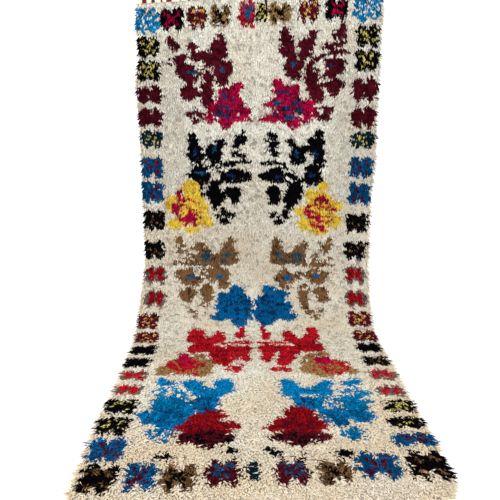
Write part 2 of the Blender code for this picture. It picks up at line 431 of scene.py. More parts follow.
BLUE_ROSE_RIGHT = patches(
    "blue", (70, 1490, 37, 25), (130, 1516, 37, 27), (70, 1566, 86, 55), (160, 1580, 30, 24),
    (135, 1628, 50, 38), (60, 1630, 70, 50), (170, 1652, 33, 25), (195, 1640, 18, 12), (45, 1686, 40, 26),
    (0, 1605, 24, 60),
    "navy", (60, 1580, 80, 65, 36), (50, 1650, 60, 35, 36),
    "ivory", (-18, 1590, 2, 26, 100, 14), (-22, 1645, 3, 26, 100, -10),
)
RED_SPRAY_LEFT = patches(
    "red", (320, 1766, 40, 28), (318, 1822, 52, 46), (195, 1776, 24, 17), (205, 1820, 34, 45),
    (265, 1850, 70, 40), (285, 1930, 70, 50), (335, 1970, 28, 18), (220, 1950, 50, 46), (195, 2010, 48, 60),
    (165, 2062, 48, 44), (155, 2102, 20, 18), (130, 1950, 60, 45, 92), (85, 1950, 49, 50),
    (80, 2010, 40, 45), (66, 2056, 28, 22), (83, 1750, 16, 30), (90, 1788, 34, 23), (105, 1828, 44, 15, 60),
    (85, 1864, 62, 14, 95), (155, 1872, 32, 18, 80), (120, 2005, 30, 50, 75), (150, 2150, 16, 22, 85),
    (95, 2130, 25, 26, 90), (95, 2166, 21, 20),
    "cherry", (280, 1930, 85, 60, 40), (180, 2020, 70, 80, 30), (85, 1930, 55, 40, 40),
)
BROWN_ROSE_LEFT = patches(
    "ochre", (350, 1995, 45, 14, 70), (280, 2040, 31, 36, 90), (250, 2120, 36, 60), (265, 2190, 46, 36),
    (340, 2130, 90, 84), (440, 2176, 31, 26), (436, 2210, 25, 14),
    "red", (345, 2120, 72, 60, 90), (330, 2190, 55, 32, 75), (400, 2130, 40, 50, 50),
    (285, 2105, 30, 45, 45),
    "ochre", (365, 2200, 50, 26, 35),
    "crimson", (366, 2020, 24, 23), (350, 2056, 36, 27), (330, 2085, 45, 30, 45),
)
RED_SPRAY_RIGHT = patches(
    "red", (290, 1746, 31, 22), (286, 1800, 42, 42), (160, 1776, 30, 21), (172, 1820, 42, 38),
    (230, 1850, 70, 34), (270, 1920, 62, 46), (315, 1952, 21, 26), (220, 1930, 50, 50, 95),
    (160, 1950, 41, 50, 92), (142, 2010, 40, 60), (126, 2080, 34, 35), (118, 2110, 14, 15),
    (55, 1930, 60, 40), (50, 1990, 33, 50), (46, 2050, 27, 25), (28, 1746, 12, 35), (40, 1800, 23, 24),
    (66, 1766, 7, 18, 100, 45), (60, 1861, 70, 15), (140, 1868, 26, 12, 80), (120, 1930, 40, 50, 60),
    (178, 1995, 20, 50, 50), (85, 2160, 36, 21, 90), (130, 2160, 18, 32, 75),
    "cherry", (260, 1900, 80, 60, 45), (150, 2000, 50, 70, 25), (55, 1920, 60, 40, 45),
)
BROWN_ROSE_RIGHT = patches(
    "ochre", (305, 2006, 50, 21, 95), (245, 2042, 31, 30, 85), (222, 2100, 22, 50, 65), (225, 2162, 31, 36),
    (320, 2130, 95, 88), (300, 2216, 60, 24, 90), (420, 2180, 38, 27), (402, 2120, 30, 40, 60),
    "red", (335, 2120, 67, 55, 90), (346, 2190, 41, 28, 80), (390, 2132, 40, 48, 60),
    (272, 2140, 22, 50, 50),
    "ochre", (330, 2150, 60, 50, 20),
    "crimson", (310, 2062, 44, 30), (275, 2090, 22, 21, 70),
)
BRIGHT_SPRAY_LEFT = patches(
    "bright", (430, 2276, 12, 20), (405, 2300, 36, 14), (385, 2345, 25, 16, 85), (430, 2360, 19, 9, 80),
    (345, 2396, 34, 26, 75), (335, 2426, 21, 21, 85), (430, 2396, 50, 9, 40), (400, 2376, 30, 12, 50),
    (298, 2300, 40, 28), (276, 2336, 30, 34), (262, 2380, 26, 29), (235, 2366, 30, 21, 85),
    (160, 2300, 40, 30), (156, 2350, 38, 40), (186, 2396, 40, 35), (206, 2430, 45, 21, 90),
    (235, 2480, 55, 36), (225, 2520, 41, 22), (300, 2500, 30, 13, 90), (320, 2460, 30, 31, 50),
    (388, 2455, 46, 34), (390, 2496, 54, 34), (400, 2570, 65, 40), (465, 2553, 22, 14), (376, 2618, 55, 28),
    (316, 2570, 48, 54), (336, 2636, 40, 31), (380, 2690, 50, 32, 85), (375, 2726, 29, 21, 80),
    "blue", (385, 2580, 85, 60, 42), (330, 2620, 50, 40, 55), (225, 2480, 60, 55, 60),
    (380, 2690, 50, 40, 35),
    "navy", (230, 2490, 45, 35, 18),
)
RED_ROSE_LEFT = patches(
    "cherry", (180, 2558, 44, 28), (225, 2588, 58, 34), (120, 2640, 43, 24), (215, 2652, 100, 40),
    "maroon", (210, 2714, 105, 32), (205, 2754, 36, 27), (280, 2744, 21, 14), (220, 2640, 85, 30, 22),
    "black", (205, 2735, 95, 35, 30),
)
BRIGHT_SPRAY_RIGHT = patches(
    "bright", (425, 2280, 19, 24), (400, 2300, 33, 12), (370, 2361, 31, 18, 85), (430, 2386, 31, 26, 70),
    (400, 2340, 30, 20, 50), (120, 2280, 17, 19), (135, 2322, 42, 32), (145, 2370, 50, 38),
    (132, 2402, 30, 20, 90), (300, 2296, 27, 21), (276, 2330, 36, 26), (264, 2370, 48, 25),
    (202, 2366, 40, 20, 85), (290, 2420, 50, 10, 80), (200, 2455, 58, 36), (206, 2490, 50, 25),
    (240, 2512, 30, 15), (388, 2446, 44, 36), (392, 2490, 48, 34), (450, 2455, 23, 8),
    (315, 2465, 31, 40, 60), (300, 2550, 50, 45), (300, 2610, 31, 31, 85), (346, 2560, 21, 40, 55),
    (400, 2560, 47, 40), (400, 2594, 30, 20), (370, 2666, 36, 14, 80), (321, 2690, 23, 18, 80),
    (360, 2710, 26, 24, 80),
    "blue", (300, 2580, 55, 65, 45), (200, 2460, 60, 45, 55), (400, 2570, 50, 40, 40),
    "navy", (200, 2455, 35, 20, 25), (390, 2450, 25, 20, 25),
)
RED_ROSE_RIGHT = patches(
    "cherry", (150, 2535, 56, 28), (165, 2575, 62, 36), (90, 2602, 31, 26), (150, 2636, 108, 43),
    (50, 2656, 30, 12),
    "maroon", (145, 2710, 112, 28), (145, 2750, 28, 23), (155, 2620, 70, 40, 25),
    "black", (145, 2725, 95, 30, 22),
)
SPECKS_LEFT = patches(
    "black", (355, 2835, 18, 7), (342, 2832, 12, 10),
    "grey", (280, 2842, 50, 1, 60),
    "black", (103, 2798, 13, 10), (115, 2813, 8, 8),
)
SPECKS_RIGHT = patches(
    "black", (34, 2798, 9, 14), (42, 2815, 12, 8), (70, 2822, 12, 7), (150, 2832, 8, 8, 80),
    (290, 2825, 20, 8), (312, 2820, 16, 12),
)

# The motifs in painting order, each on its side of the centre line
LEFT = -1
RIGHT = 1
Motif = namedtuple("Motif", "side parts")
MOTIFS = (
    Motif(LEFT, MAROON_SPRAY_LEFT + CRIMSON_ROSE_LEFT),
    Motif(RIGHT, MAROON_SPRAY_RIGHT + CRIMSON_ROSE_RIGHT),
    Motif(LEFT, BLACK_SPRAY_LEFT + YELLOW_ROSE_LEFT),
    Motif(RIGHT, BLACK_SPRAY_RIGHT + YELLOW_ROSE_RIGHT),
    Motif(LEFT, BROWN_SPRAY_LEFT + BLUE_ROSE_LEFT),
    Motif(RIGHT, BROWN_SPRAY_RIGHT + BLUE_ROSE_RIGHT),
    Motif(LEFT, RED_SPRAY_LEFT + BROWN_ROSE_LEFT),
    Motif(RIGHT, RED_SPRAY_RIGHT + BROWN_ROSE_RIGHT),
    Motif(LEFT, BRIGHT_SPRAY_LEFT + RED_ROSE_LEFT),
    Motif(RIGHT, BRIGHT_SPRAY_RIGHT + RED_ROSE_RIGHT),
    Motif(LEFT, SPECKS_LEFT),
    Motif(RIGHT, SPECKS_RIGHT),
)

# The border's rosettes, charted knot by knot with an outer yarn, a, and an inner one, b
CHARTS = {
    "butterfly": """
    ..aa.....aa..
    .aaaaa.aaaaa.
    aaabaa.aabaaa
    aaabbaaabbaaa
    aaaabbabbaaa.
    .aaaabbbaaaa.
    aaaabbabbaaaa
    aaabbaaabbaaa
    .aabaa.aabaaa
    .aaaa...aaaa.
    ..aa.....aa..
    """,
    "blossom": """
    ...aa...aa...
    ..aaaa.aaaaa.
    .aabba.aabba.
    aaabaaaaabaaa
    aaaaaabaaaaaa
    .aaaabbbaaaa.
    aaaaaabaaaaaa
    .aabaaaaabaa.
    .aabba.aabba.
    ..aaaa..aaaa.
    ...aa....aa..
    """,
    "holed": """
    ..aaa...aaa..
    .aaaaa.aaaaa.
    aa.aaa.aa.aaa
    aaaaa.aaaa.aa
    aaa.aaaa.aaa.
    aa.aa.aaaaa.a
    aaaaa.aa.aaaa
    .aa.aaaa.aaaa
    .aaaa.aaaa.aa
    ..aaaa..aaaa.
    ...aa....aa..
    """,
    "spotted": """
    ..aaa...aaa..
    .aaaaa.aaaaa.
    aabbaaaaabbaa
    aabbbaaabbbaa
    .aaabaaabaaa.
    .aaaabbbaaaa.
    aaaabaabaaaaa
    aabbbaaabbbaa
    .aabbaaabbaa.
    .aaaa...aaaa.
    ..aa.....aa..
    """,
    "seeded": """
    ..aaa...aaa..
    .aaaaa.aaaaaa
    aaabaaaaabaaa
    aaaabbaaaaaa.
    .aaaaaabbaaaa
    aaabbaaaaaaa.
    aaaaaabbaaaaa
    aaabaaaaabaa.
    .aaaaaabaaaa.
    .aaaaa.aaaaa.
    ..aaa...aaa..
    """,
    "flecked": """
    ..aaa...aaa..
    .aaaaa.aaaaaa
    aaaaaaaaabaaa
    aaaabaaaaaaa.
    .aaaaaaabaaaa
    aaabbaaaaaaa.
    aaaaaaabaaaaa
    aaaaaaaaabaa.
    .aaaabaaaaaa.
    .aaaaa.aaaaa.
    ..aaa...aaa..
    """,
    "crossed": """
    ..aaa...aaa..
    .aaaaa.aaaaa.
    aaabaaaaabaaa
    aaabbaaabbaaa
    .aaaabaabaaa.
    .aaaabbaaaaa.
    .aaaaabbaaaa.
    aaaabbaabbaaa
    aaabaaaaabaaa
    .aaaaa.aaaaa.
    ..aaa...aaa..
    """,
    "ringed": """
    ..aa.....aa..
    .aaaa...aaaa.
    .aabba.abbaa.
    aaabbaaabbaaa
    aaaaabbaaaaaa
    .aabbabaabaa.
    aaabbaaabbaaa
    aaaaaabbaaaa.
    .aaaaaaaaaaa.
    .aaaa...aaaa.
    ..aa.....aa..
    """,
    "netted": """
    ..aa.....aa..
    .abaa...aaba.
    .aabba.abaaa.
    aaabbaabbabaa
    abaabbbbaabaa
    .aabbabbbbaa.
    aaabaabbaaaaa
    aabbbaabbbbaa
    .aaba...baaa.
    ..aab...aaa..
    ...aa....a...
    """,
    "eyed": """
    ..aaa....aa..
    .aaaaa..aaaa.
    aaabbaaabbaaa
    aaabbaaabbaa.
    .aaaaaaaaaaaa
    aaaaaaaaaaaa.
    .aaaaaaaaaaaa
    aaabbaaabbaa.
    .aabba.aabba.
    .aaaa...aaaa.
    ...aa....aa..
    """,
    "crowned": """
    ..aa.....aa..
    .aaaa...aaaa.
    .abbaaaabbba.
    aabbbaabbbbaa
    aaabbbabbbaaa
    .aaabbbbbaaa.
    aaaaabbbaaaaa
    aaaaaabaaaaa.
    .aaaaaaaaaaa.
    .aaaa.a.aaaa.
    ..aa.....aa..
    """,
    "cored": """
    ...aa...aa...
    ..abba.abba..
    .abbbbabbbba.
    aabbbbabbbbaa
    aabbbbbbbbbaa
    .aabbbabbbaa.
    aabbbbabbbbaa
    aabbbaaabbbaa
    .abbba.abbba.
    ..aaa...aaaa.
    ...a.....aa..
    """,
}
CHART_WIDTH = 13
CHART_HEIGHT = 11
Rosette = namedtuple("Rosette", "across row chart outer inner half_width half_height")


def rosette(across, row, chart, outer, inner, half_width=63, half_height=54):
    """A rosette, with its place and its size in millimetres."""
    return Rosette(across / 1000, row / 1000, chart, outer, inner, half_width / 1000, half_height / 1000)


ROSETTES = table(
    rosette,
    (-573, 28, "holed", "bright", "bright", 67, 60),
    (-568, 158, "crossed", "black", "straw"),
    (-570, 277, "crossed", "black", "straw"),
    (-572, 412, "blossom", "maroon", "maroon", 70, 57),
    (-568, 539, "blossom", "maroon", "maroon", 70, 57),
    (-565, 656, "seeded", "teal", "straw", 60, 46),
    (-572, 807, "crossed", "blue", "cherry", 63, 58),
    (-572, 944, "crossed", "blue", "maroon", 63, 60),
    (-565, 1098, "flecked", "black", "brown"),
    (-578, 1263, "flecked", "black", "brown"),
    (-568, 1404, "cored", "grey", "cherry"),
    (-565, 1540, "cored", "grey", "cherry"),
    (-588, 1680, "seeded", "maroon", "orange"),
    (-575, 1808, "blossom", "maroon", "orange"),
    (-565, 1945, "seeded", "black", "black"),
    (-570, 2086, "seeded", "black", "black"),
    (-565, 2222, "cored", "grey", "red"),
    (-562, 2359, "cored", "grey", "red", 62, 50),
    (-566, 2495, "seeded", "black", "straw", 68, 56),
    (-565, 2628, "flecked", "black", "straw", 66, 56),
    (-555, 2769, "crossed", "blue", "maroon", 68, 68),
    (-547, 2930, "eyed", "black", "brown", 64, 80),
    (565, 28, "holed", "bright", "bright", 67, 60),
    (568, 158, "crossed", "black", "straw"),
    (567, 277, "crossed", "black", "straw"),
    (568, 412, "blossom", "maroon", "maroon", 70, 57),
    (562, 545, "blossom", "maroon", "maroon", 70, 57),
    (565, 660, "seeded", "teal", "straw", 63, 46),
    (560, 807, "crossed", "blue", "maroon", 66, 56),
    (558, 948, "crossed", "blue", "maroon", 63, 62),
    (548, 1112, "flecked", "black", "brown"),
    (548, 1267, "flecked", "black", "brown"),
    (545, 1404, "cored", "grey", "cherry"),
    (545, 1540, "cored", "grey", "cherry"),
    (550, 1668, "crossed", "maroon", "orange"),
    (562, 1804, "seeded", "maroon", "orange"),
    (555, 1930, "seeded", "black", "black"),
    (562, 2081, "flecked", "black", "brown"),
    (558, 2222, "cored", "grey", "red"),
    (565, 2365, "cored", "grey", "red", 60, 46),
    (568, 2492, "crossed", "black", "straw"),
    (563, 2622, "seeded", "black", "straw", 70, 45),
    (570, 2754, "butterfly", "blue", "maroon", 80, 52),
    (577, 2915, "eyed", "black", "brown", 76, 84),
    (-441, 26, "butterfly", "black", "crimson", 62, 60),
    (-313, 23, "blossom", "maroon", "orange", 56, 58),
    (-194, 26, "netted", "ochre", "black", 55, 60),
    (-54, 18, "crowned", "red", "steel", 44, 72),
    (22, 15, "spotted", "black", "straw", 30, 55),
    (112, 26, "netted", "ochre", "black", 60, 56),
    (262, 20, "blossom", "maroon", "orange", 56, 62),
    (405, 20, "butterfly", "black", "crimson", 62, 60),
    (-408, 2921, "butterfly", "blue", "maroon", 56, 78),
    (-277, 2936, "netted", "brown", "black", 60, 80),
    (-130, 2915, "ringed", "maroon", "steel", 61, 78),
    (-28, 2916, "seeded", "teal", "teal", 26, 56),
    (104, 2925, "ringed", "maroon", "steel", 56, 72),
    (248, 2938, "netted", "brown", "black", 60, 72),
    (404, 2906, "butterfly", "blue", "maroon", 74, 80),
)


def ease(share):
    """Shares from 0 to 1, with a soft start and end."""
    share = np.clip(share, 0.0, 1.0)
    return share * share * (3.0 - 2.0 * share)


def steps(changes, place):
    """The sum of some changes at a place."""
    return sum(step.change * ease((place - step.start) / step.length) for step in changes)


def read(rows, down, column):
    """A column of a table at distances down the rug, eased between its rows."""
    downs = np.array([row.down for row in rows])
    values = np.array([getattr(row, column) for row in rows])
    below = np.clip(np.searchsorted(downs, down), 1, len(rows) - 1)
    start = downs[below - 1]
    share = ease((down - start) / (downs[below] - start))
    return values[below - 1] + share * (values[below] - values[below - 1])


def wander(across, down, *noises):
    """The sum of some smooth noises at a place, each one from minus its size to its size."""
    total = 0
    for noise in noises:
        wide = noise.spacing * noise.stretch
        size = (int(LATTICE_WIDTH / wide) + 3, int(LATTICE_LENGTH / noise.spacing) + 3)
        lattice = np.random.default_rng(noise.seed).uniform(-1.0, 1.0, size)
        column = (np.asarray(across) + LATTICE_LEFT) / wide
        row = (np.asarray(down) + LATTICE_ABOVE) / noise.spacing
        i = np.floor(column).astype(int)
        j = np.floor(row).astype(int)
        u = ease(column - i)
        v = ease(row - j)
        near = lattice[i, j] * (1 - u) + lattice[i + 1, j] * u
        far = lattice[i, j + 1] * (1 - u) + lattice[i + 1, j + 1] * u
        total = total + noise.size * (near * (1 - v) + far * v)
    return total


def swell_at(across, down):
    """How far the hanging cloth stands forward of its plane."""
    total = np.zeros_like(across)
    for swell in SWELLS:
        sideways = (across - swell.across) / swell.half_width
        lengthways = (down - swell.down) / swell.half_height
        total += swell.rise * np.exp(-(sideways**2 + lengthways**2))
    return total * ease((HANG_LENGTH - down) / SWELL_FADE) * ease((down + HEADING_HEIGHT) / SWELL_FADE)


def drape(across, down, height):
    """Where points of the flat rug lie once it hangs, in the frame."""
    bend_length = BEND_RADIUS * (math.pi / 2 - LEAN)
    hung = np.minimum(down, HANG_LENGTH)
    turned = np.clip(down - HANG_LENGTH, 0.0, bend_length) / BEND_RADIUS
    laid = np.maximum(down - HANG_LENGTH - bend_length, 0.0)
    slant = LEAN + turned
    y = -hung * math.sin(LEAN) - BEND_RADIUS * (math.cos(LEAN) - np.cos(slant)) - laid
    z = (HANG_LENGTH - hung) * math.cos(LEAN) + BEND_RADIUS * (1.0 - np.sin(slant))
    height = height + swell_at(across, down)
    return np.stack(
        (across + ACROSS_OFFSET, y - height * np.cos(slant) + OUT_OFFSET, z + height * np.sin(slant)), axis=-1
    )


def on_cloth(share, row):
    """Where a knot lies on the cloth, from its share of the width and its row's distance down."""
    left = read(EDGES, row, "left") + EDGE_INSET
    right = read(EDGES, row, "right") - EDGE_INSET
    across = left + share * (right - left)
    down = row + read(SLOPES, row, "drop") * (1.0 - 2.0 * share)
    return across, down


def along_pile(row):
    """A distance down the woven back as one down the pile's surface, where the pattern is drawn."""
    bend_length = BEND_RADIUS * (math.pi / 2 - LEAN)
    bent = np.clip(row - HANG_LENGTH, 0.0, bend_length)
    return row - FIRST_ROW - bent * PILE_DEPTH / BEND_RADIUS


def shown_at(row):
    """Where on the pile's surface the yarn of a row shows."""
    return along_pile(row) + LOCK_SHOWS + steps([SHOWS_FURTHER], row)


def inside_part(part, out, down):
    """Whether each point lies in a patch."""
    tilt = math.radians(part.tilt)
    spread = SPREAD + steps([SPREAD_FURTHER], down)
    sideways = (out - part.out) * math.cos(tilt) + (down - part.down) * math.sin(tilt)
    lengthways = (down - part.down) * math.cos(tilt) - (out - part.out) * math.sin(tilt)
    return (sideways / (part.half_width + spread)) ** 2 + (lengthways / (part.half_height + spread)) ** 2 < 1


def chart_cells(rosette, across, row):
    """What a rosette's chart has at each point: 0 for nothing, 1 for a and 2 for b."""
    letters = np.array([[".ab".index(letter) for letter in line] for line in CHARTS[rosette.chart].split()])
    column = np.floor((across - rosette.across) / (2 * rosette.half_width) * CHART_WIDTH + CHART_WIDTH / 2)
    line = np.floor((row - rosette.row) / (2 * rosette.half_height) * CHART_HEIGHT + CHART_HEIGHT / 2)
    inside = (column >= 0) & (column < CHART_WIDTH) & (line >= 0) & (line < CHART_HEIGHT)
    cells = np.zeros(len(across), int)
    cells[inside] = letters[line[inside].astype(int), column[inside].astype(int)]
    return cells


def ragged(across, down, laid):
    """How far each knot strays from the drawing, across and down."""
    chance = np.random.default_rng(SEED)
    stray_across = wander(across, down, WOBBLE_ACROSS) + chance.normal(0, CHANCE_ACROSS, len(across))
    stray_down = wander(across, down, WOBBLE_DOWN) + chance.normal(0, CHANCE_DOWN, len(across))
    stray_across += (1 - laid) * wander(across, down, STREAKS_ACROSS)
    stray_down += laid * wander(across, down, STREAKS_DOWN)
    return stray_across, stray_down


def paint(across, row, down):
    """The yarn of each knot, as its place in YARNS, from its row and its place along the hung pile."""
    yarn = np.zeros(len(across), int)
    laid = steps([LAID], down)
    stray_across, stray_down = ragged(across, down, laid)
    clump = (1 - laid) * wander(across, down, *HUNG_CLUMPS) + laid * wander(across, down, LAID_CLUMPS)
    filling = np.argsort(np.argsort(clump)) / len(clump)
    for motif in MOTIFS:
        for part in motif.parts:
            inside = inside_part(part, motif.side * (across + stray_across), down + stray_down)
            yarn[inside & (filling < part.fill)] = YARN_INDEX[part.yarn]
    across = across + BORDER_STRAY_ACROSS * stray_across
    row = row + BORDER_STRAY_DOWN * stray_down
    for rosette in ROSETTES:
        cells = chart_cells(rosette, across, row)
        yarn[cells == 1] = YARN_INDEX[rosette.outer]
        yarn[cells == 2] = YARN_INDEX[rosette.inner]
    return yarn


def linear(colour):
    """An sRGB colour, written in six hexadecimal digits, as linear values."""
    values = np.array([int(colour[i : i + 2], 16) / 255 for i in (0, 2, 4)])
    return np.where(values <= 0.04045, values / 12.92, ((values + 0.055) / 1.055) ** 2.4)


def knots():
    """Every lock of the rug, two to a knot: its place in the weave and on the cloth, and its yarn."""
    chance = np.random.default_rng(SEED + 1)
    share, row = np.meshgrid(
        (np.arange(KNOTS_ACROSS) + 0.5) / KNOTS_ACROSS,
        (np.arange(KNOTS_DOWN) + KNOT_PLACE_IN_ROW) / KNOTS_DOWN * PILE_LENGTH,
    )
    share = share + chance.uniform(-KNOT_STRAY, KNOT_STRAY, share.shape) / KNOTS_ACROSS
    row = row + chance.uniform(-KNOT_STRAY, KNOT_STRAY, row.shape) * PILE_LENGTH / KNOTS_DOWN
    across, down = on_cloth(share.ravel(), row.ravel())
    yarn = paint(across, shown_at(row.ravel()), shown_at(down))
    places = (np.arange(LOCKS_IN_KNOT) + 0.5) / LOCKS_IN_KNOT - 0.5
    places = places + chance.uniform(-LOCK_STRAY, LOCK_STRAY, (share.size, LOCKS_IN_KNOT))
    share = share.ravel()[:, None] + places / KNOTS_ACROSS
    row = row.ravel()[:, None] + chance.uniform(-LOCK_ROW_STRAY, LOCK_ROW_STRAY, (row.size, LOCKS_IN_KNOT))
    share = np.clip(share.ravel(), RIM, 1 - RIM)
    row = np.clip(row.ravel(), RIM, PILE_LENGTH)
    across, down = on_cloth(share, row)
    return share, row, across, down, np.repeat(yarn, LOCKS_IN_KNOT)


def painted_creases(across, row):
    """How deep the painted crease shade is at each lock, from 0 to 1."""
    number = np.round((row - CREASE_SLANT * across) * KNOTS_DOWN / PILE_LENGTH)
    depth = wander(across, number * CREASES.spacing, CREASES) + wander(across, row, CREASE_PATCHES)
    return (1 - steps([CREASE_END], row)) * np.clip(depth - CREASE_START, 0, 1)


def lock_points(share, row, across, down, chance):
    """The points of every lock, three to a ring and one at its tip."""
    count = len(across)
    turned = wander(across, down, *SWIRLS) + steps([OUTWARD], np.abs(share - 0.5)) * np.sign(share - 0.5)
    angle = np.radians(turned + (LOOSE + steps([LOOSER], row)) * chance.normal(0, 1, count))
    longer = chance.uniform(*LENGTHS, count) * (1 + steps([LONGER], row))
    lusher = chance.uniform(*HEIGHTS, count) * (1 + wander(across, down, LUMPS))
    lusher *= 1 + (TUFT_SIZE + steps([TUFTIER], row)) * wander(across, down, TUFTS)
    wider = chance.uniform(*WIDTHS, count)
    points = np.empty((count, LOCK_SIDES * len(RINGS) + 1, 3))
    for i, ring in enumerate(RINGS + (TIP,)):
        reach = ring.reach * longer
        bow = angle * (BOW_AT_ROOT + (1 - BOW_AT_ROOT) * i / len(RINGS))
        middle_across = across + reach * np.sin(bow)
        middle_down = down + reach * np.cos(bow)
        corners = LOCK_SIDES if ring.half_width else 1
        for corner in range(corners):
            turn = math.pi / 2 + corner * 2 * math.pi / LOCK_SIDES
            sideways = ring.half_width * wider * math.cos(turn)
            height = ring.height * lusher + ring.half_depth * math.sin(turn)
            points[:, i * LOCK_SIDES + corner] = drape(
                middle_across + sideways * np.cos(bow), middle_down - sideways * np.sin(bow), height
            )
    return points


def lock_tones(share, row, across, down, chance):
    """How light and how warm every lock is, and how light its tip is, from 0 to 1. The lightness holds
    painted light and shade: on raised tufts, in creases, at the hanging sides and in steps down the rug.
    """
    painted_crease = painted_creases(across, row)
    aside = np.abs(share - 0.5)
    light = LIGHT + wander(across, down, *LIGHT_NOISES) + TUFT_PAINTED_LIGHT * wander(across, down, TUFTS)
    light += chance.normal(0, LIGHT_CHANCE, len(row)) - PAINTED_CREASE_DARKENING * painted_crease + steps(PAINTED_LIGHT_STEPS, row)
    light += steps([SIDE_SHADE], aside) * steps(SIDE_SHADE_STEPS, row)
    warm = WARM + steps([WARM_SIDES], aside) + wander(across, down, WARM_NOISE) + steps(WARM_STEPS, row)
    warm += chance.normal(0, WARM_CHANCE, len(row))
    return np.clip(np.stack((light, warm, 1 - CREASE_SHADE * painted_crease), axis=-1), 0, 1)


def lock_faces():
    """The triangles of one lock."""
    faces = []
    for ring in range(len(RINGS) - 1):
        for corner in range(LOCK_SIDES):
            a = ring * LOCK_SIDES + corner
            b = ring * LOCK_SIDES + (corner + 1) % LOCK_SIDES
            faces.append((a, b, b + LOCK_SIDES))
            faces.append((a, b + LOCK_SIDES, a + LOCK_SIDES))
    tip = len(RINGS) * LOCK_SIDES
    for corner in range(LOCK_SIDES):
        faces.append((tip - LOCK_SIDES + corner, tip - LOCK_SIDES + (corner + 1) % LOCK_SIDES, tip))
    return np.array(faces)


def add_mesh(name, points, faces):
    """A smooth mesh object from arrays of points and faces, riding on the rug."""
    mesh = bpy.data.meshes.new(name)
    mesh.from_pydata(points, [], faces)
    mesh.shade_smooth()
    piece = bpy.data.objects.new(name, mesh)
    bpy.context.scene.collection.objects.link(piece)
    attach(piece, "root")
    return piece


def add_map(mesh, name, places):
    """A UV map, from a place for every corner of every face."""
    layer = mesh.uv_layers.new(name=name)
    layer.uv.foreach_set("vector", places.astype(np.float32).ravel())


def add_colours(mesh, name, colours):
    """A colour attribute, from red, green and blue for every point."""
    values = np.ones((len(colours), 4), np.float32)
    values[:, :3] = colours
    attribute = mesh.color_attributes.new(name, "FLOAT_COLOR", "POINT")
    attribute.data.foreach_set("color", values.ravel())


def lock_places(count, faces):
    """Places on the map: each lock has a cell of its own, with a column to a side and a row to a ring."""
    cells = math.ceil(math.sqrt(count))
    tip = len(RINGS) * LOCK_SIDES
    inside = np.empty((len(faces), 3, 2))
    for i, face in enumerate(faces):
        side = (i // 2) % LOCK_SIDES if i < len(faces) - LOCK_SIDES else i - len(faces) + LOCK_SIDES
        for j, v in enumerate(face):
            step = 0.5 if v == tip else float(v % LOCK_SIDES != side)
            inside[i, j] = (side + step) / LOCK_SIDES, (v // LOCK_SIDES) / len(RINGS)
    number = np.arange(count)
    corner = np.stack((number % cells, number // cells), axis=-1)[:, None, None, :]
    return (corner + CELL_MARGIN + (1 - 2 * CELL_MARGIN) * inside[None]) / cells


def add_locks(name, yarn, points, tone):
    """One piece of pile: all its locks joined, with each lock's own tone on its points."""
    count, size = points.shape[:2]
    faces = lock_faces()
    every = (np.arange(count)[:, None, None] * size + faces[None]).reshape(-1, 3)
    piece = add_mesh(name, points.reshape(-1, 3), every)
    add_map(piece.data, "OFBake", lock_places(count, faces))
    along = (np.arange(size) // LOCK_SIDES) / len(RINGS)
    light, warm, tip = [np.repeat(column[:, None], size, axis=1) for column in tone.T]
    # The lock's colours: red its lightness, green its painted shade from root to tip and in the creases, blue
    # its warmth
    add_colours(piece.data, "lock", np.stack((light, along * tip, warm), axis=-1).reshape(-1, 3))
    piece.data.materials.append(wool(yarn))
    return piece


def link(tree, source, output, target, place):
    """A link between the named sockets of two nodes."""
    tree.links.new(source.outputs[output], target.inputs[place])


def maths(tree, operation, *values):
    """A maths node: each operand is a number or an output."""
    node = tree.nodes.new("ShaderNodeMath")
    node.operation = operation
    for place, value in enumerate(values):
        if isinstance(value, (int, float)):
            node.inputs[place].default_value = value
        else:
            tree.links.new(value, node.inputs[place])
    return node.outputs["Value"]


def mixed(tree, factor, first, second, blend="MIX"):
    """A colour mix: each colour is a tuple or an output."""
    node = tree.nodes.new("ShaderNodeMix")
    node.data_type = "RGBA"
    node.blend_type = blend
    for place, value in ((0, factor), (6, first), (7, second)):
        if isinstance(value, (int, float, tuple)):
            node.inputs[place].default_value = value
        else:
            tree.links.new(value, node.inputs[place])
    return node.outputs[2]


def new_material(name):
    """A material, with its tree and its shader."""
    material = bpy.data.materials.new(name)
    material.use_nodes = True
    return material, material.node_tree, material.node_tree.nodes["Principled BSDF"]


def set_wool(tree, shader, relief, strength, distance):
    """What all the wool shares: it is matt, and has a fine relief."""
    shader.inputs["Roughness"].default_value = 0.95
    shader.inputs["Specular IOR Level"].default_value = 0.03
    bump = tree.nodes.new("ShaderNodeBump")
    bump.inputs["Strength"].default_value = strength
    bump.inputs["Distance"].default_value = distance
    tree.links.new(relief, bump.inputs["Height"])
    link(tree, bump, "Normal", shader, "Normal")


